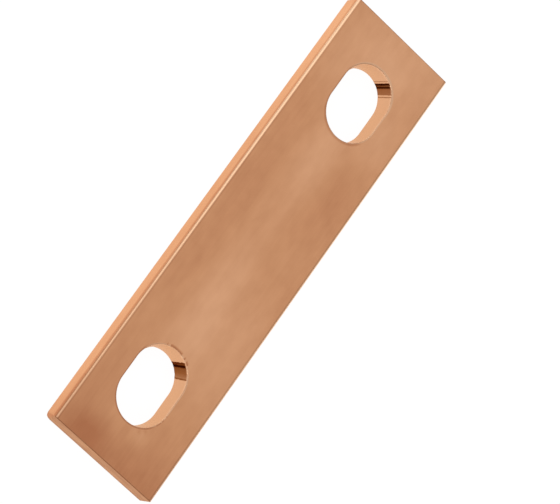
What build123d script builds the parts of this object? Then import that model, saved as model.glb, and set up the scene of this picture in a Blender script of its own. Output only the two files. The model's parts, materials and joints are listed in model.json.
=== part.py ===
from build123d import *
from math import atan2, degrees
import os

# Connecting busbar: a flat copper link, cut from drawn bar and slotted near both ends.
# Millimetres. X runs along the bar, Y across it, and Z up from the face that it lies on.
# The origin is the centre of that face.

# The drawn bar
bar_width = 25.0
bar_thickness = 5.0
edge_radius = 0.8  # rounding that the drawing die leaves along the four long edges

# The cut length
link_length = 100.0
corner_radius = 0.4  # plan corners, just taken off when the sheared ends are dressed
end_break = 0.15  # light rounding of the ends' edges on top
rollover = 1.0  # rounding of the ends' edges underneath, where the shear's blade drew the metal in

# The bolt slots
slot_spacing = 68.0  # between the slots' centres, along the bar
slot_shift = 0.35  # how far the pair was punched towards the +X end
stray = 0.4  # how far each slot was punched off the bar's centre line, the +X one to -Y
slot_width = 10.8  # clearance for an M10 bolt, as wide as the punch
slot_travel = 4.5  # distance between the centres of the slot's round ends
breakout = 0.55  # how much a slot grows on every side towards the top, where the slug broke away
breakout_depth = 2.6  # how far below the top that starts
rolled_rim = 0.35  # soft rim on top of the +X slot
plain_rim = 0.15  # light break on every other rim

with BuildPart() as link_plate:
    # The blank's outline, seen from above.
    with BuildSketch() as outline:
        RectangleRounded(link_length, bar_width, corner_radius)
    extrude(amount=bar_thickness)

    # Its outline seen from the side: the ends were sheared from below and their top edges broken.
    with BuildSketch(Plane.XZ) as end_profile:
        with Locations((0, bar_thickness / 2)):
            Rectangle(link_length, bar_thickness)
        lower_corners, upper_corners = vertices().group_by(Axis.Y)
        fillet(lower_corners, rollover)
        fillet(upper_corners, end_break)
    extrude(amount=bar_width / 2, both=True, mode=Mode.INTERSECT)

    # The bar's own section, which rounds the long edges.
    with BuildSketch(Plane.YZ.offset(-link_length / 2)) as bar_section:
        with Locations((0, bar_thickness / 2)):
            RectangleRounded(bar_width, bar_thickness, edge_radius)
    extrude(amount=link_length, mode=Mode.INTERSECT)

    # Both slots are punched from below: straight at first, then wider to where the slug broke away.
    slot_centres = [
        (slot_shift + slot_spacing / 2, -stray),
        (slot_shift - slot_spacing / 2, stray),
    ]
    with BuildSketch() as slots:
        with Locations(slot_centres):
            SlotCenterToCenter(slot_travel, slot_width)
    extrude(amount=bar_thickness, mode=Mode.SUBTRACT)
    with BuildSketch(Plane.XY.offset(bar_thickness - breakout_depth)) as breakouts:
        with Locations(slot_centres):
            SlotCenterToCenter(slot_travel, slot_width)
    breakout_slope = degrees(atan2(breakout, breakout_depth))
    extrude(amount=breakout_depth, taper=-breakout_slope, mode=Mode.SUBTRACT)

    # Rims: the top rim of the +X slot is soft, and the others are just broken.
    top_face = faces().sort_by(Axis.Z)[-1]
    bottom_face = faces().sort_by(Axis.Z)[0]
    far_rim, near_rim = top_face.inner_wires().sort_by(Axis.X, reverse=True)
    fillet(near_rim.edges() + bottom_face.inner_wires().edges(), plain_rim)
    fillet(far_rim.edges(), rolled_rim)

link_plate.part.label = "link_plate"

os.makedirs("parts", exist_ok=True)
export_step(link_plate.part, "parts/link_plate.step")
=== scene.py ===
import json
import math

import bmesh
import bpy
import numpy as np
from mathutils import Matrix, Vector


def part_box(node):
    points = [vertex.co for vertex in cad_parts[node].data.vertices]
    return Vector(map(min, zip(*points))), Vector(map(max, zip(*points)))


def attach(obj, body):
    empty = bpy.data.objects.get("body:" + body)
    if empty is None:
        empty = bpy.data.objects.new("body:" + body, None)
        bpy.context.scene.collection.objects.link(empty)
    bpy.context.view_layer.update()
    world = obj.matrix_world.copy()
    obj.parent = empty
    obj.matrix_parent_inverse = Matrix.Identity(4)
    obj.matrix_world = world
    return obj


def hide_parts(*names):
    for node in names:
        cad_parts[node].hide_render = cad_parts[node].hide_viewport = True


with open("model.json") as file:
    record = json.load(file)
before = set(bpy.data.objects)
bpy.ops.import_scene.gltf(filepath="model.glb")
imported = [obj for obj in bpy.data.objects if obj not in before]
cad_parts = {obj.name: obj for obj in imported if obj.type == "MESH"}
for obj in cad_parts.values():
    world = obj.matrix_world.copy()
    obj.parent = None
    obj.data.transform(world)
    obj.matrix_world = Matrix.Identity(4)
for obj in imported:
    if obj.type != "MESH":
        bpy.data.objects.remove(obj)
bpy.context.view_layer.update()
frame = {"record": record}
print("frame loaded")

millimetre = 0.001


def rgb(hexColour, strength=1.0):
    # sRGB hex to linear, with alpha
    channels = [int(hexColour[i:i + 2], 16) / 255 for i in (1, 3, 5)]
    linear = [c / 12.92 if c <= 0.04045 else ((c + 0.055) / 1.055) ** 2.4 for c in channels]
    return (*[c * strength for c in linear], 1.0)


def addNode(tree, kind, links=None, **settings):
    # one node: links maps a socket's name or number to a value or to another node's output
    made = tree.nodes.new(kind)
    for name, value in settings.items():
        setattr(made, name, value)
    for socket, value in (links or {}).items():
        if isinstance(value, bpy.types.NodeSocket):
            tree.links.new(value, made.inputs[socket])
        else:
            made.inputs[socket].default_value = value
    return made


# The plate, in millimetres. Its overall size and its slots come from the frame.
slotMount = next(m for m in frame["record"]["mounts"] if m["name"] == "bolt_slots")
lowCorner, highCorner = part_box("link_plate")
plate = {
    "length": (highCorner.x - lowCorner.x) / millimetre,
    "width": (highCorner.y - lowCorner.y) / millimetre,
    "thickness": (highCorner.z - lowCorner.z) / millimetre,
    "edgeRadius": 0.8,  # drawn long edges, across the face
    "edgeDepth": 0.85,  # and down the side
    "lowerRadius": 1.15,  # long edges underneath
    "endBreak": 0.15,  # the sheared ends' top edges
    "rollover": 1.0,  # and their edges underneath, where the shear's blade drew the metal in
    "cornerRadius": 0.4,  # plan corners
    "lowerCorner": 1.7,  # the -X and +Y one underneath, where the shear drew the metal in
    "flatCorner": 0.1,  # the flat face's own corners, between the roundings
    "skew": (0.25, 0.14),  # how far the +X and the -X end are out of square at their corners
    "squareUpTo": 43.0,  # how far out along the bar that has no effect
    "slotRadius": slotMount["dims"]["hole_r_mm"],
    "slotLength": slotMount["dims"]["slot_length_mm"],
    "slotReach": slotMount["dims"]["spacing_x_mm"] / 2,
    "slotShift": slotMount["pos_m"][0] / millimetre,  # the pair was punched nearer the +X end
    "stray": 0.4,  # how far each slot is off the centre line, the +X one to -Y
    "breakout": 0.37,  # how much a slot grows towards the top, where the slug broke away
    "breakoutLean": (-0.07, 0.35),  # and how much more it grows towards +X and towards +Y
    "breakoutDepth": 2.6,  # how far below the face that starts
    "lowerRim": 0.06,  # light break on the rims underneath
    "columns": {"side": 120, "corner": 12, "end": 110, "seam": 80},
    "rows": {"wall": 12, "rim": 7, "face": 22, "edge": 12, "side": 14, "back": 12, "backRim": 4},
    "weld": 0.001,  # the two halves' points are joined when they are this close
}

# Wear of the slots' walls and top rims, and the painted shade on the rims' outer edges, in millimetres. A
# stretch runs clockwise round a slot from its +X tip, as the two places between which something begins and
# the two between which it ends.
wear = {
    "wornRim": 0.2,  # width of a rim on the face
    "softRim": 0.42,  # and where the +X slot's is drawn in
    "softStretch": ((-9.0, -3.0), (5.5, 12.0)),
    "softSlope": 0.6,  # depth of that slot's rim for its width
    "softWaver": 0.03,
    "tornRim": 0.12,  # and where the -X slot's is torn
    "tornStretch": ((-4.5, -2.5), (3.2, 4.2)),
    "nickStretch": ((12.5, 13.2), (16.5, 17.5)),  # less torn on the other side
    "nickShares": {"rim": 0.6, "burr": 0.5, "rimDarkening": 0.7},
    "burr": 0.08,  # how high the torn rim stands at its highest
    "dullWhere": (0.5, 0.65),  # how rough the tear is where its outer edge turns dull
    "dullTear": 0.8,
    "rimShades": (0.5, 0.65),  # how much painted shade darkens the +X and the -X slot's outer edges past these places
    "shadeAfter": (15.5, 17.5),
    "shadeBefore": (-5.5, -7.5),
    "rimStart": (0.9, 1.0),  # share of the wall's height where the rim's finish begins
    "rimOuter": (0.9, 1.3),  # angle round the rim where its outer edge begins, in radians
    "besideRim": 0.02,  # and where it ends, as a share of the way over the face
    "rimLine": 0.4,  # how much of the rim's finish, a pale colour that is partly a painted highlight, its outer line has
    "dragDepth": 0.06,  # how deep the punch tore the walls
    "dragStretch": ((2.2, 2.6), (4.6, 5.0)),
    "dragAndReflectionHeight": (4.7, 4.9),  # how far up the walls the drag marks and the painted dark reflection reach
    "noises": {"waver": (3, 1.1), "tear": (7, 0.35), "drag": (11, 0.3)},  # seed and period
}

# Soft patches on the face, where it is brighter or darker than its usual tone, partly tarnish and partly
# painted
# sheen and shade: centre, half length, half width and strength, in plate millimetres.
patches = [
    ((-53, 1), (12, 20), -0.42),  # darker end, tarnish and painted shade
    ((-48.4, 6.2), (3.4, 3.8), -0.26),
    ((-42, 2), (3, 5), 0.14),
    ((-41.9, -3.2), (2.2, 1.8), 0.26),  # rubbed bright beside the -X slot
    ((-41.7, -2.4), (0.5, 0.4), -0.3),  # and scratched
    ((-41.0, -3.4), (0.4, 0.4), -0.3),
    ((-22, -1.5), (5, 3), 0.12),
    ((-16, 0.5), (15, 4.6), 0.48),  # soft bright band down the middle, a painted reflection
    ((21, 0.5), (10, 4.2), 0.45),
    ((-20, -8), (12, 5), 0.22),
    ((16, -7), (9, 4.5), -0.22),
    ((4, 9), (20, 4), -0.18),
    ((37, 8), (8, 4), 0.14),
    ((43.2, -0.5), (2.2, 3.4), 0.30),  # painted sheen beside the +X slot's soft rim
    ((46, -1), (11, 14), 0.34),
    ((31, -8), (5, 4), 0.28),
]

# Painted light and shade on the edges and sides, against the face's tone, and the burnished band, which is
# partly a painted highlight. Angles are in radians down from the face, and the rest of the stretches in
# millimetres.
edgeTonesAndPaintedLight = {
    # painted light: the sides are a little lighter
    "side": 0.14,
    "faceLine": -0.2,  # painted shade: a darker line along the face's edge
    "faceLineAngles": ((0, 0.1), (0.2, 0.35)),
    "bandLine": -0.3,  # and painted shade under the burnished band
    "bandLineAngles": (0.7, 1.1),
    "bandLineDepth": (0, 0.5),
    "bottom": -0.45,  # painted shade at the side's foot
    "bottomHeight": (0.5, 1.0),
    "corner": -0.7,  # painted shade down the plan corner
    "cornerSharpness": 6,
    # painted shade along the ends' top edges
    "endBreak": -0.42,
    "rimEdge": -1.2,  # painted shade on the slots' outer rims, and darker where the -X slot's rim is torn
    "bandStrength": (0.66, 1.0),  # how strong the burnished band, partly a painted highlight, is at the -X and at the +X end
    "bandAngles": (0.15, 0.6),  # where it begins
    "bandEnd": (0.58, 0.92),  # where it starts to fade at the -X and at the +X end
    "bandFade": 0.3,
    "bandChange": (-50, 40),  # where along the bar one turns into the other
}


def smoothStep(low, high, value):
    t = np.clip((value - low) / (high - low), 0, 1)
    return t * t * (3 - 2 * t)


def stretch(value, rise, fall):
    # 1 between two pairs of places, fading to 0 across each pair
    return smoothStep(*rise, value) * (1 - smoothStep(*fall, value))


def jitter(values, seed, period):
    # smooth noise between -1 and 1 along a line: a random value at every period, joined by half cosines
    count = 997
    steps = np.random.default_rng(seed).uniform(-1, 1, count)
    place = values / period
    left = np.floor(place).astype(int)
    blend = (1 - np.cos(np.pi * (place - left))) / 2
    return steps[left % count] * (1 - blend) + steps[(left + 1) % count] * blend


def tarnishAndSheenAt(plan):
    # sum of soft patches, tarnish and painted sheen and shade: each is its strength times e to minus the
    # squared distance in half sizes
    toneAndPaintedLight = np.zeros(plan.shape[:-1])
    for centre, halfSize, strength in patches:
        toneAndPaintedLight += strength * np.exp(-(((plan - centre) / halfSize) ** 2).sum(axis=-1))
    return toneAndPaintedLight


def outlineColumns(inset, corners):
    # One end of a rounded rectangle seen from above, clockwise from the middle of its +Y side: along that
    # side, round the corner, across the end, round the other corner, back, and then across the middle line.
    # inset is how far it lies inside the plate's outline, along the plate and across it, and corners are the
    # radii of its corners at +Y and at -Y.
    reach, halfWidth = plate["length"] / 2 - inset[0], plate["width"] / 2 - inset[1]
    first, second = corners
    count = plate["columns"]
    side = np.linspace(0, reach - first, count["side"], endpoint=False)
    turn = np.linspace(0, np.pi / 2, count["corner"], endpoint=False)
    end = np.linspace(halfWidth - first, second - halfWidth, count["end"], endpoint=False)
    back = np.linspace(reach - second, 0, count["side"] + 1)
    seam = np.linspace(-halfWidth, halfWidth, count["seam"] + 1)[1:-1]
    x = np.concatenate([
        side, reach - first + first * np.sin(turn), 0 * end + reach, reach - second + second * np.cos(turn),
        back, 0 * seam,
    ])
    y = np.concatenate([
        0 * side + halfWidth, halfWidth - first + first * np.cos(turn), end,
        second - halfWidth - second * np.sin(turn), 0 * back - halfWidth, seam,
    ])
    return np.column_stack([x, y])


def acrossEdge(plan, radius):
    # how far across a long edge's rounding a point lies: 0 where the face ends and 1 at the side
    return np.clip(1 - (plate["width"] / 2 - np.abs(plan[..., 1])) / radius, 0, 1)


def edgeDrop(plan, endRadius, sideRadius, sideDepth):
    # How far the rounded edges fall away from a flat face: a quarter ellipse across each long edge and a
    # quarter circle along each end. Where they meet the larger counts (fourth root of their fourth powers).
    towardsEnd = np.clip(1 - (plate["length"] / 2 - np.abs(plan[..., 0])) / endRadius, 0, 1)
    sideDrop = sideDepth * (1 - np.sqrt(1 - acrossEdge(plan, sideRadius) ** 2))
    endDrop = endRadius * (1 - np.sqrt(1 - towardsEnd ** 2))
    return (sideDrop ** 4 + endDrop ** 4) ** 0.25


def slotColumns():
    # The same columns along the slot's own outline, as clockwise distances from its far tip, so that every
    # stretch of the plate's outline faces its own stretch of the slot. Also the whole way round.
    travel, quarter = plate["slotLength"] - 2 * plate["slotRadius"], plate["slotRadius"] * np.pi / 2
    loop, eighth = 4 * quarter + 2 * travel, quarter / 2
    bend = 0.1  # half the stretch that faces a plan corner
    count = plate["columns"]
    stops = [
        (-travel - 3 * eighth, -eighth - bend, count["side"]),
        (-eighth - bend, -eighth + bend, count["corner"]),
        (-eighth + bend, eighth - bend, count["end"]),
        (eighth - bend, eighth + bend, count["corner"]),
        (eighth + bend, travel + 3 * eighth, count["side"] + 1),
    ]
    sides = np.concatenate([np.linspace(low, high, n, endpoint=False) for low, high, n in stops[:-1]])
    back = np.linspace(*stops[-1])
    seam = np.linspace(travel + 3 * eighth, loop - travel - 3 * eighth, count["seam"] + 1)[1:-1]
    return np.concatenate([sides, back, seam]), loop


def slotOutline(along):
    # Point and outward direction at a clockwise distance from the slot's far tip: the tip's half circle,
    # a straight side, the other half circle and the other side.
    radius = plate["slotRadius"]
    travel, halfTurn = plate["slotLength"] - 2 * radius, radius * np.pi
    s = (along + halfTurn / 2) % (2 * halfTurn + 2 * travel)
    second = s >= halfTurn + travel
    s = s - second * (halfTurn + travel)
    turned = np.clip(s, 0, halfTurn) / radius + second * np.pi
    straight = np.clip(s - halfTurn, 0, travel)
    bearing = np.pi / 2 - turned
    out = np.column_stack([np.cos(bearing), np.sin(bearing)])
    centre = np.where(second, straight - travel / 2, travel / 2 - straight)
    return np.column_stack([centre, 0 * centre]) + radius * out, out


def rimSizes(around, isFar):
    # How wide and how deep the top rim is rounded, how high it stands, how deep the wall is torn and how
    # dark the rim's outer edge is: painted shade past the shade stretches and, on the -X slot, darker where
    # torn. Each is a size times its stretches and its smooth noise. around is the clockwise distance from
    # the slot's +X tip.
    noise = {name: jitter(around, seed, period) for name, (seed, period) in wear["noises"].items()}
    rimDarkening = smoothStep(*wear["shadeAfter"], around) + smoothStep(*wear["shadeBefore"], around)
    drag = wear["dragDepth"] * stretch(around, *wear["dragStretch"]) * (0.5 + 0.5 * noise["drag"])
    if isFar:
        drawnIn = (wear["softRim"] - wear["wornRim"]) * stretch(around, *wear["softStretch"])
        rim = wear["wornRim"] + drawnIn + wear["softWaver"] * noise["waver"]
        return rim, wear["softSlope"] * rim, 0 * rim, drag, wear["rimShades"][0] * rimDarkening
    rough = 0.5 + 0.5 * noise["tear"]
    torn, nicked = stretch(around, *wear["tornStretch"]), stretch(around, *wear["nickStretch"])
    tornBy = {name: np.maximum(torn, share * nicked) for name, share in wear["nickShares"].items()}
    rim = wear["wornRim"] + (wear["tornRim"] - wear["wornRim"]) * tornBy["rim"] * (1 - rough / 2)
    burr = wear["burr"] * rough ** 2 * tornBy["burr"]
    dullTear = wear["dullTear"] * smoothStep(*wear["dullWhere"], rough) * tornBy["rimDarkening"]
    return rim, rim, burr, drag, np.maximum(wear["rimShades"][1] * rimDarkening, dullTear)


def quarterTurn(n):
    return np.linspace(0, np.pi / 2, n, endpoint=False)[:, None]


def gradedShare(n):
    # shares between 0 and 1, closer together near both ends
    return ((1 - np.cos(np.linspace(0, np.pi, n + 1)[1:-1])) / 2)[:, None]


def profileRows(breakout, rim, rimDepth, burr, drag):
    # The closed profile, as nine values at every row and column: the share of the way from slot to flat
    # outline, the share from there to the outer outline, the shift away from the slot's outline, the
    # height, how far the top edge's and the lower edge's drops count there, and how far it is wall, rim and
    # the rim's outer edge. Walls are straight and lean out near the top, and rims and edges are quarter
    # circles or ellipses.
    thick, count, backRim = plate["thickness"], plate["rows"], plate["lowerRim"]
    wall = np.linspace(0, 1, count["wall"], endpoint=False)[:, None]
    wallHeight = backRim + wall * (thick - rimDepth - backRim)
    flare = breakout * np.clip((wallHeight - thick) / plate["breakoutDepth"] + 1, 0, 1)
    mouth = breakout * (1 - rimDepth / plate["breakoutDepth"])
    t, s, u = quarterTurn(count["rim"]), quarterTurn(count["backRim"]), quarterTurn(count["edge"])
    v = np.linspace(0, np.pi / 2, count["edge"] + 1)[:, None]
    side = np.linspace(0, 1, count["side"], endpoint=False)[:, None]
    face, back = gradedShare(count["face"]), gradedShare(count["back"])[::-1]
    rimPlace = mouth + rim * (1 - np.cos(t)) + drag * np.cos(t)
    rimHeight = thick - rimDepth * (1 - np.sin(t)) + burr * np.sin(2 * t) ** 2
    backPlace = backRim * (1 - np.sin(s)) + drag * np.sin(s)
    topOfWall, outerRim = smoothStep(*wear["rimStart"], wall), smoothStep(*wear["rimOuter"], t)
    besideRim = smoothStep(wear["besideRim"], 0, face)
    runs = [
        (0, 0, flare + drag, wallHeight, 0, 0, 1, topOfWall, 0),
        (0, 0, rimPlace, rimHeight, 0, 0, np.cos(t) ** 2, 1 - t / np.pi, outerRim),
        (0, 0, mouth + rim, thick, 0, 0, 0, wear["rimLine"], 1),
        (face, 0, mouth + rim, thick, 1, 0, 0, 0, besideRim),
        (1, np.sin(u), 0, thick, 1, 0, 0, 0, 0),
        (1, 1, 0, thick * (1 - side), 1 - side, side, 0, 0, 0),
        (1, np.cos(v), 0, 0, 0, 1, 0, 0, 0),
        (back, 0, backRim, 0, 0, 1, 0, 0, 0),
        (0, 0, backPlace, backRim * (1 - np.cos(s)), 0, 0, np.sin(s), 0, 0),
    ]
    rows = []
    for run in runs:
        tall = max(np.atleast_2d(value).shape[0] for value in run)
        rows.append(np.stack([np.broadcast_to(value, (tall, len(rim))) for value in run]))
    return np.concatenate(rows, axis=1)


def gridCells(size, onSeam, direction):
    # every cell of the grid as a quad, closed both ways, less the edge's cells along the middle line
    count = plate["rows"]
    row, column = np.meshgrid(np.arange(size[0]), np.arange(size[1]), indexing="ij")
    nextRow, nextColumn = (row + 1) % size[0], (column + 1) % size[1]
    cells = np.stack([
        row * size[1] + column, row * size[1] + nextColumn,
        nextRow * size[1] + nextColumn, nextRow * size[1] + column,
    ], axis=-1)
    edgeStart = count["wall"] + count["rim"] + count["face"]
    inEdge = (row >= edgeStart) & (row < edgeStart + 2 * count["edge"] + count["side"])
    return cells[~(inEdge & (onSeam[column] | onSeam[nextColumn]))][:, ::-direction]


def sidePaintedLightAt(plan, height, topDrop, above, outwards, sheared):
    # Painted light and shade on one half's edges and sides against the face: each part's tone times its
    # stretches, as the angle down from the face, the depth under the rounding, the height or the share of
    # the plan corner turned.
    tones, onSide = edgeTonesAndPaintedLight, outwards == 1
    angle = np.arcsin(acrossEdge(plan, plate["edgeRadius"]))
    underEdge = plate["thickness"] - topDrop - height
    faceLine = stretch(angle, *tones["faceLineAngles"])
    nearEdge = 1 - smoothStep(*tones["bandLineDepth"], underEdge)
    bandLine = smoothStep(*tones["bandLineAngles"], angle) * nearEdge
    foot = 1 - smoothStep(*tones["bottomHeight"], height)
    turn = (np.arange(plan.shape[1]) - plate["columns"]["side"]) / plate["columns"]["corner"]
    corner = onSide * np.sin(np.pi * np.clip(turn, 0, 1)) ** tones["cornerSharpness"]
    atBreak = above * (outwards < 1) * smoothStep(plate["endBreak"], 0, plate["length"] / 2 - plan[..., 0])
    drawn = tones["side"] * onSide + tones["faceLine"] * faceLine + tones["bandLine"] * bandLine
    cut = tones["bottom"] * foot + tones["corner"] * corner + tones["endBreak"] * atBreak
    return drawn * (1 - sheared) + cut


def burnishAndHighlightAt(x, plan):
    # how burnished the long edges are, which is partly a painted highlight: a smooth bump down from the
    # face, longer and stronger towards +X
    towardsFar = smoothStep(*edgeTonesAndPaintedLight["bandChange"], x)
    strength = np.interp(towardsFar, (0, 1), edgeTonesAndPaintedLight["bandStrength"])
    end = np.interp(towardsFar, (0, 1), edgeTonesAndPaintedLight["bandEnd"])
    angle = np.arcsin(acrossEdge(plan, plate["edgeRadius"]))
    return strength * stretch(angle, edgeTonesAndPaintedLight["bandAngles"], (end, end + edgeTonesAndPaintedLight["bandFade"]))


def halfPlate(direction):
    # One half of the plate: a closed profile (slot wall, rim, face, edge, side, edge, back and back rim)
    # whose inner side follows the slot and whose outer side follows the outline, carried round from column
    # to column. direction is +1 for the half towards +X and -1 for the other.
    isFar, halfLength = direction > 0, plate["length"] / 2
    lowerCorners = [plate["cornerRadius"] if isFar else plate["lowerCorner"], plate["cornerRadius"]]
    outlineAbove = outlineColumns((0, 0), [plate["cornerRadius"]] * 2)
    outlineBelow = outlineColumns((0, 0), lowerCorners)
    flatAbove = outlineColumns((plate["endBreak"], plate["edgeRadius"]), [plate["flatCorner"]] * 2)
    flatBelow = outlineColumns((plate["rollover"], plate["lowerRadius"]), [plate["flatCorner"]] * 2)
    onSeam = np.arange(len(outlineAbove)) > len(outlineAbove) - plate["columns"]["seam"]
    along, loop = slotColumns()
    hole, holeOut = slotOutline(along)
    hole = hole + [plate["slotReach"] + direction * plate["slotShift"], -direction * plate["stray"]]
    around = along if isFar else loop / 2 - along
    around = (around + loop / 2) % loop - loop / 2
    rim, rimDepth, burr, drag, rimShadeAndTear = rimSizes(around, isFar)
    breakout = plate["breakout"] + holeOut @ (plate["breakoutLean"] * np.array([direction, 1]))
    rows = profileRows(breakout, rim, rimDepth, burr, drag)
    share, outwards, fromHole, height, above, below, wallMask, rimMask, outerRim = rows

    # from the slot's own outline to the flat outline and on to the outer one, then down the edges' roundings
    outline = outlineAbove + below[..., None] * (outlineBelow - outlineAbove)
    flat = np.where((below > 0)[..., None], flatBelow, flatAbove)
    inner = hole + fromHole[..., None] * holeOut
    plan = inner + share[..., None] * (flat - inner) + outwards[..., None] * (outline - flat)
    topDrop = edgeDrop(plan, plate["endBreak"], plate["edgeRadius"], plate["edgeDepth"])
    lowDrop = edgeDrop(plan, plate["rollover"], plate["lowerRadius"], plate["lowerRadius"])
    isEdge = (share == 1) & ~onSeam
    height = height + isEdge * (below * lowDrop - above * topDrop)
    skew = plate["skew"][0 if isFar else 1] * plan[..., 1] / (plate["width"] / 2)
    x = direction * (plan[..., 0] - skew * smoothStep(plate["squareUpTo"], halfLength, plan[..., 0]))
    points = np.stack([x, plan[..., 1], height], axis=-1)

    sheared = isEdge * smoothStep(halfLength - plate["cornerRadius"], halfLength, plan[..., 0])
    sidePaintedLight = isEdge * sidePaintedLightAt(plan, height, topDrop, above, outwards, sheared)
    # attributes for the finish, some carrying painted light: the tone holds painted sheen and shade, the
    # edge and rim masks a partly painted highlight, and the drag zone a painted dark reflection
    values = {
        "around": around,
        "wall": wallMask,
        "rim": rimMask * (1 - rimShadeAndTear),
        "edge": isEdge * (outwards < 1) * burnishAndHighlightAt(x, plan),
        "dragAndReflectionZone": wallMask * (1 - smoothStep(*wear["dragAndReflectionHeight"], height)),
        "sheared": sheared,
        "toneAndPaintedLight": tarnishAndSheenAt(points[..., :2]) + sidePaintedLight + edgeTonesAndPaintedLight["rimEdge"] * outerRim * rimShadeAndTear,
    }
    values = {name: np.broadcast_to(value, share.shape).ravel() for name, value in values.items()}
    return points.reshape(-1, 3), gridCells(share.shape, onSeam, direction), values


def buildPlate():
    points, cells, values = halfPlate(1)
    otherPoints, otherCells, otherValues = halfPlate(-1)
    mesh = bpy.data.meshes.new("copper_link")
    vertices = np.concatenate([points, otherPoints]) * millimetre
    mesh.from_pydata(vertices.tolist(), [], np.concatenate([cells, otherCells + len(points)]).tolist())
    for name in values:
        value = np.concatenate([values[name], otherValues[name]]).astype(np.float32)
        mesh.attributes.new(name, "FLOAT", "POINT").data.foreach_set("value", value)
    joined = bmesh.new()
    joined.from_mesh(mesh)
    bmesh.ops.remove_doubles(joined, verts=joined.verts, dist=plate["weld"] * millimetre)
    openEdges = sum(1 for edge in joined.edges if len(edge.link_faces) != 2)
    print("plate: faces", len(joined.faces), "open edges", openEdges)
    joined.to_mesh(mesh)
    joined.free()
    mesh.shade_smooth()
    link = bpy.data.objects.new("copper_link", mesh)
    bpy.context.scene.collection.objects.link(link)
    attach(link, "root")
    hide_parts("link_plate")
    return link


# The finish of the copper. Colours are what the metal reflects, and some also carry painted light: the
# burnished and rim tones are partly a painted highlight, the sheared tones partly painted shade, and the
# drag and torn tones partly a painted dark reflection. Patterns are in millimetres along the bar, across it
# and up.
finish = {
    # the face's tones from deep to pale, which also show the tone's painted sheen and shade
    "deepTone": "#C9845D",
    "usualTone": "#E5A67A",
    "paleTone": "#F5B98E",
    # the burnished edges' pale colour, partly a painted highlight
    "burnishAndHighlightTone": "#FFD2AC",
    "wallTone": "#E2AC84",
    # the rims' pale colour, partly a painted highlight
    "rimAndHighlightTone": "#F8CBA6",
    # the sheared ends' own dull striped colour, darkened further with painted shade
    "shearedAndShadedTone": "#A96F50",
    "shearedAndShadedPale": "#C38962",
    # drag marks with a painted dark reflection on the walls: brown, and almost black where darkest
    "dragAndReflectionTone": "#9F6441",
    "tornAndReflectionTone": "#2E1002",
    "glanceTone": "#FFEDD7",  # how copper tints what it reflects at a slant
    # painted dark reflection: a darker tint of the walls' reflections where the drag marks are
    "dragAndReflectionGlance": "#70432A",
    "faceRoughness": 0.36,
    "roughnessSpread": 0.05,
    "edgeRoughness": 0.24,
    "wallRoughness": 0.38,
    "rimRoughness": 0.5,
    "lengths": {
        "cloud": (18.0, 7.0, 7.0),
        "mottle": (3.6, 1.9, 1.9),
        "streak": (45.0, 0.4, 0.4),  # the die's lines, coarser than real ones so that they show
        "grain": (1.2, 0.09, 0.09),
        "shear": (5.0, 9.0, 0.9),  # stripes across the sheared ends, coarser too
    },
    "details": {"cloud": 3.0, "mottle": 4.0, "streak": 3.0, "grain": 2.0, "shear": 3.0},
    "toneShifts": {"cloud": 0.35, "mottle": 0.12, "streak": 0.14},
    "mottleRange": (0.3, 0.7),  # the part of the noise that changes the roughness
    "stripeRange": (0.35, 0.6),  # and the part that makes a stripe
    "stripeFoot": (0.5, 1.6),  # height in which the stripes come in
    "bumpHeight": 0.004,
    "bumpStrength": 0.6,
}

# Where the +X arc of each slot's wall is darkened, by the punch's drag marks and by a painted dark
# reflection:
# clockwise distance in millimetres from the tip and how dark it is there.
dragAndReflectionMarks = {
    "far": [(1.45, 0), (1.55, 0.6), (1.67, 0), (1.95, 0.1), (2.05, 0.97), (2.4, 0.95), (2.53, 0.6),
            (2.65, 0.97), (3, 0.9), (3.15, 0.6), (4.25, 0.55), (4.35, 0), (4.55, 0), (4.7, 0.65),
            (4.85, 0)],
    "near": [(1.95, 0), (2.1, 0.8), (2.3, 0.85), (2.5, 0.75), (2.7, 0.97), (3, 0.95), (3.2, 0.68),
             (4, 0.62), (4.8, 0.5), (5, 0.42), (5.15, 0.7), (5.3, 0.6), (5.4, 0)],
}
# how the drag marks and their painted dark reflection are drawn
dragAndReflectionLook = {
    "start": 1.0,  # where the marks' stretch begins
    "span": 5.0,
    "lean": 0.068,  # how far the marks lean for every millimetre up the wall
    "fray": {"far": 0.16, "near": 0.4},  # how far their edges stray
    "frayScale": (2.5, 1.0, 2200.0),  # per millimetre round the slot and per metre up its wall
    "frayDetail": 2.0,
    "tornAbove": 0.6,  # brown up to this darkness and almost black above it
}


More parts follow.
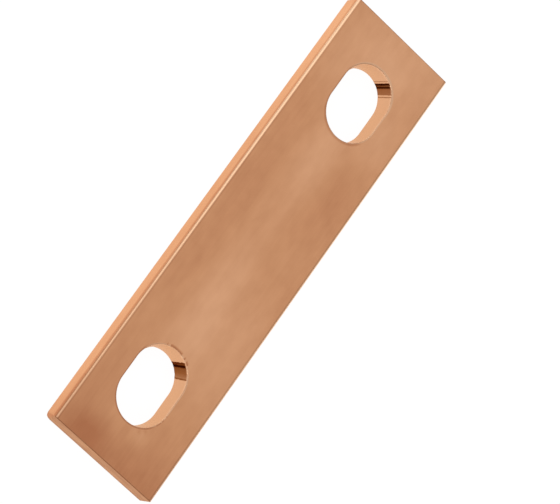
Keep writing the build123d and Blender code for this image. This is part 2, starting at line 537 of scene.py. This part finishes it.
def dragAndReflectionDarkness(tree, place, around):
    # how dark the drag marks and the painted dark reflection on the walls are: a ramp round each slot,
    # leaning back up the wall, its edges frayed
    apart = addNode(tree, "ShaderNodeSeparateXYZ", {0: place})
    frayed = addNode(tree, "ShaderNodeCombineXYZ", {0: around, 2: apart.outputs[2]})
    fray = addNode(tree, "ShaderNodeMapping", {"Vector": frayed.outputs[0], "Scale": dragAndReflectionLook["frayScale"]})
    fray = addNode(tree, "ShaderNodeTexNoise", {
        "Vector": fray.outputs[0], "Scale": 1.0, "Detail": dragAndReflectionLook["frayDetail"],
    })
    fray = addNode(tree, "ShaderNodeMath", {0: fray.outputs[0], 1: 0.5}, operation="SUBTRACT")
    isFar = addNode(tree, "ShaderNodeMath", {0: apart.outputs[0], 1: 0.0}, operation="GREATER_THAN")
    reach = addNode(tree, "ShaderNodeMix", {
        0: isFar.outputs[0], 2: dragAndReflectionLook["fray"]["near"], 3: dragAndReflectionLook["fray"]["far"],
    })
    shifted = addNode(tree, "ShaderNodeMath", {
        0: fray.outputs[0], 1: reach.outputs[0], 2: around,
    }, operation="MULTIPLY_ADD")
    shifted = addNode(tree, "ShaderNodeMath", {
        0: apart.outputs[2], 1: -dragAndReflectionLook["lean"] / millimetre, 2: shifted.outputs[0],
    }, operation="MULTIPLY_ADD")
    start, span = dragAndReflectionLook["start"], dragAndReflectionLook["span"]
    along = addNode(tree, "ShaderNodeMapRange", {
        "Value": shifted.outputs[0], "From Min": start, "From Max": start + span,
    })
    dark = {}
    for name, marks in dragAndReflectionMarks.items():
        band = addNode(tree, "ShaderNodeValToRGB", {0: along.outputs[0]})
        stops = band.color_ramp.elements
        stops.remove(stops[1])
        stops[0].position, stops[0].color = 0.0, (0, 0, 0, 1)
        for distance, darkness in marks:
            stops.new((distance - start) / span).color = (darkness, darkness, darkness, 1)
        dark[name] = band.outputs[0]
    return addNode(tree, "ShaderNodeMix", {0: isFar.outputs[0], 2: dark["near"], 3: dark["far"]}).outputs[0]


def rolledCopper():
    # Bare copper bar, cloudy and faintly streaked along its length, so that it reads as soft drawn metal,
    # with painted sheen and shade in its tone. The rounded edges are burnished and carry a painted highlight
    # and lines of painted shade, the rims' pale colour is partly a painted highlight, the slots' walls are
    # brighter where the punch sheared them and dark where it tore them and where a dark reflection is
    # painted, and the cut ends are dull and striped, and darkened further with painted shade.
    made = bpy.data.materials.new("rolled copper")
    made.use_nodes = True
    tree = made.node_tree
    tree.nodes.clear()
    place = addNode(tree, "ShaderNodeTexCoord").outputs["Object"]
    patterns = {}
    for name, lengths in finish["lengths"].items():
        scale = [1 / (length * millimetre) for length in lengths]
        scaled = addNode(tree, "ShaderNodeMapping", {"Vector": place, "Scale": scale})
        noise = addNode(tree, "ShaderNodeTexNoise", {
            "Vector": scaled.outputs[0], "Scale": 1.0, "Detail": finish["details"][name],
        })
        patterns[name] = noise.outputs[0]
    masks = {
        name: addNode(tree, "ShaderNodeAttribute", attribute_name=name).outputs["Fac"]
        for name in ("around", "wall", "rim", "edge", "dragAndReflectionZone", "sheared", "toneAndPaintedLight")
    }

    # tone, with painted light: the usual tone, the patches, partly painted sheen and shade, the painted
    # light and shade of the edges and rims, and the patterns around their middle
    toneAndPaintedLight = masks["toneAndPaintedLight"]
    for name, shift in finish["toneShifts"].items():
        centred = addNode(tree, "ShaderNodeMath", {0: patterns[name], 1: 0.5}, operation="SUBTRACT")
        toneAndPaintedLight = addNode(tree, "ShaderNodeMath", {
            0: centred.outputs[0], 1: shift, 2: toneAndPaintedLight,
        }, operation="MULTIPLY_ADD").outputs[0]
    toneAndPaintedLight = addNode(tree, "ShaderNodeMath", {0: toneAndPaintedLight, 1: 0.5}, operation="ADD")
    ramp = addNode(tree, "ShaderNodeValToRGB", {0: toneAndPaintedLight.outputs[0]})
    ramp.color_ramp.elements[0].color = rgb(finish["deepTone"])
    ramp.color_ramp.elements[1].color = rgb(finish["paleTone"])
    ramp.color_ramp.elements.new(0.5).color = rgb(finish["usualTone"])

    # the cut ends' stripes, which start a little above their foot
    rimDarkening, pale = finish["stripeRange"]
    striped = addNode(tree, "ShaderNodeMapRange", {
        "Value": patterns["shear"], "From Min": rimDarkening, "From Max": pale,
    })
    foot, full = finish["stripeFoot"]
    risen = addNode(tree, "ShaderNodeSeparateXYZ", {0: place})
    risen = addNode(tree, "ShaderNodeMapRange", {
        "Value": risen.outputs[2], "From Min": foot * millimetre, "From Max": full * millimetre,
    })
    striped = addNode(tree, "ShaderNodeMath", {
        0: striped.outputs[0], 1: risen.outputs[0],
    }, operation="MULTIPLY")
    striped = addNode(tree, "ShaderNodeMix", {
        0: striped.outputs[0], 6: rgb(finish["shearedAndShadedTone"]), 7: rgb(finish["shearedAndShadedPale"]),
    }, data_type="RGBA")

    # colour: each finish over the one before it, with the painted highlight of the edges and rims and the
    # painted shade of the ends and walls
    # the drag marks with their painted dark reflection: brown up to one darkness and almost black above it
    marksAndReflection = addNode(tree, "ShaderNodeMath", {
        0: dragAndReflectionDarkness(tree, place, masks["around"]), 1: masks["dragAndReflectionZone"],
    }, operation="MULTIPLY")
    brownAndReflection = addNode(tree, "ShaderNodeMapRange", {
        "Value": marksAndReflection.outputs[0], "From Max": dragAndReflectionLook["tornAbove"],
    })
    torn = addNode(tree, "ShaderNodeMapRange", {
        "Value": marksAndReflection.outputs[0], "From Min": dragAndReflectionLook["tornAbove"],
    })
    colour = ramp.outputs[0]
    for share, over in (
        (masks["edge"], rgb(finish["burnishAndHighlightTone"])),
        (masks["wall"], rgb(finish["wallTone"])),
        (masks["rim"], rgb(finish["rimAndHighlightTone"])),
        (masks["sheared"], striped.outputs[2]),
        (brownAndReflection.outputs[0], rgb(finish["dragAndReflectionTone"])),
        (torn.outputs[0], rgb(finish["tornAndReflectionTone"])),
    ):
        colour = addNode(tree, "ShaderNodeMix", {0: share, 6: colour, 7: over}, data_type="RGBA").outputs[2]
    glance = addNode(tree, "ShaderNodeMix", {
        0: marksAndReflection.outputs[0], 6: rgb(finish["glanceTone"]), 7: rgb(finish["dragAndReflectionGlance"]),
    }, data_type="RGBA")

    # roughness: the face's varies with its mottling, and the edges, walls and rims have their own
    low, high = finish["mottleRange"]
    roughness = addNode(tree, "ShaderNodeMapRange", {
        "Value": patterns["mottle"], "From Min": low, "From Max": high,
        "To Min": finish["faceRoughness"] + finish["roughnessSpread"],
        "To Max": finish["faceRoughness"] - finish["roughnessSpread"],
    }).outputs[0]
    for name in ("edge", "wall", "rim"):
        roughness = addNode(tree, "ShaderNodeMix", {
            0: masks[name], 2: roughness, 3: finish[name + "Roughness"],
        }).outputs[0]
    relief = addNode(tree, "ShaderNodeMath", {0: patterns["streak"], 1: patterns["grain"]}, operation="ADD")
    bump = addNode(tree, "ShaderNodeBump", {
        "Height": relief.outputs[0], "Strength": finish["bumpStrength"],
        "Distance": finish["bumpHeight"] * millimetre,
    })
    shader = addNode(tree, "ShaderNodeBsdfPrincipled", {
        "Base Color": colour, "Metallic": 1.0, "Roughness": roughness,
        "Specular Tint": glance.outputs[2], "Normal": bump.outputs[0],
    })
    addNode(tree, "ShaderNodeOutputMaterial", {"Surface": shader.outputs[0]})
    return made


link = buildPlate()
link.data.materials.append(rolledCopper())
print("plate dressed")

# The studio, in metres: a pale light table, a pale room with a darker skirting and three softboxes.
# Brightness is what a white card there would show in the picture.
studio = {
    "tableSize": 1.6,
    "tableGlow": 0.95,
    "tablePaint": 0.11,
    "tableRoughness": 0.9,
    "roomHeights": (0.0, 0.2, 0.5, 0.85, 1.0),  # sine of the elevation
    "roomBrightness": (0.26, 0.30, 0.52, 0.70, 0.56),
    "roomSeen": 0.92,  # what the camera sees of the room itself
    "softboxes": {
        "key softbox": {"place": (0.24, 0.43, 0.26), "size": (0.34, 0.46), "brightness": 0.62},
        "front softbox": {"place": (0.20, -0.20, 0.48), "size": (0.40, 0.30), "brightness": 0.10},
        "side softbox": {"place": (-0.44, 0.25, 0.21), "size": (0.26, 0.26), "brightness": 2.4},
    },
}


def buildTable():
    # White acrylic lit from below, so that it reads as an even pale ground and shows almost no shadow.
    mesh = bpy.data.meshes.new("pale_table")
    half = studio["tableSize"] / 2
    corners = [(-half, -half, 0), (half, -half, 0), (half, half, 0), (-half, half, 0)]
    mesh.from_pydata(corners, [], [(0, 1, 2, 3)])
    table = bpy.data.objects.new("pale_table", mesh)
    bpy.context.scene.collection.objects.link(table)
    paint = bpy.data.materials.new("white acrylic light table")
    paint.use_nodes = True
    tree = paint.node_tree
    tree.nodes.clear()
    shader = addNode(tree, "ShaderNodeBsdfPrincipled", {
        "Base Color": rgb("#FFFFFF", studio["tablePaint"]), "Roughness": studio["tableRoughness"],
        "Specular IOR Level": 0.0,
        "Emission Color": rgb("#FFFFFF"), "Emission Strength": studio["tableGlow"],
    })
    addNode(tree, "ShaderNodeOutputMaterial", {"Surface": shader.outputs[0]})
    mesh.materials.append(paint)


def buildSoftboxes():
    for name, box in studio["softboxes"].items():
        light = bpy.data.lights.new(name, "AREA")
        light.shape = "RECTANGLE"
        light.size, light.size_y = box["size"]
        light.energy = box["brightness"] * math.pi * light.size * light.size_y
        holder = bpy.data.objects.new(name, light)
        bpy.context.scene.collection.objects.link(holder)
        holder.location = box["place"]
        holder.rotation_euler = (-Vector(box["place"])).to_track_quat("-Z", "Y").to_euler()
        holder.visible_camera = False


def buildRoom():
    world = bpy.data.worlds.new("pale room")
    world.use_nodes = True
    tree = world.node_tree
    tree.nodes.clear()
    direction = addNode(tree, "ShaderNodeTexCoord").outputs["Generated"]
    height = addNode(tree, "ShaderNodeSeparateXYZ", {0: direction}).outputs[2]
    ramp = addNode(tree, "ShaderNodeValToRGB", {0: height})
    stops = ramp.color_ramp.elements
    stops.remove(stops[1])
    stops[0].position, stops[0].color = 0.0, rgb("#FFFFFF", studio["roomBrightness"][0])
    for sine, brightness in zip(studio["roomHeights"][1:], studio["roomBrightness"][1:]):
        stops.new(sine).color = rgb("#FFFFFF", brightness)
    room = addNode(tree, "ShaderNodeBackground", {"Color": ramp.outputs[0]})
    seen = addNode(tree, "ShaderNodeBackground", {"Color": rgb("#FFFFFF", studio["roomSeen"])})
    camera = addNode(tree, "ShaderNodeLightPath").outputs["Is Camera Ray"]
    both = addNode(tree, "ShaderNodeMixShader", {0: camera, 1: room.outputs[0], 2: seen.outputs[0]})
    addNode(tree, "ShaderNodeOutputWorld", {"Surface": both.outputs[0]})
    bpy.context.scene.world = world


buildTable()
buildRoom()
buildSoftboxes()
bpy.context.scene.view_settings.view_transform = "Standard"
print("studio built")

# The camera, as the photograph was taken: millimetres and degrees, in the plate's frame
cameraFacts = {
    "place": (-168.9, 198.1, 464.1),
    "aim": (1.802, -4.469, 5.0),
    "roll": -89.31,
    "focalPixels": 2870.8,
    "widthPixels": 560,
    "sensorWidth": 36.0,
    "nearest": 10.0,  # the closest that it sees
}


def buildCamera():
    data = bpy.data.cameras.new("camera")
    data.sensor_width = cameraFacts["sensorWidth"]
    data.lens = cameraFacts["focalPixels"] * data.sensor_width / cameraFacts["widthPixels"]
    data.clip_start = cameraFacts["nearest"] * millimetre
    camera = bpy.data.objects.new("camera", data)
    bpy.context.scene.collection.objects.link(camera)
    place, aim = Vector(cameraFacts["place"]) * millimetre, Vector(cameraFacts["aim"]) * millimetre
    forward = (aim - place).normalized()
    right = forward.cross(Vector((0, 0, 1))).normalized()
    up = right.cross(forward)
    roll = math.radians(cameraFacts["roll"])
    rolledUp = up * math.cos(roll) + right * math.sin(roll)
    rolledRight = forward.cross(rolledUp)
    turned = Matrix((rolledRight, rolledUp, -forward)).transposed()
    camera.matrix_world = Matrix.Translation(place) @ turned.to_4x4()
    bpy.context.scene.camera = camera


buildCamera()
print("camera set")
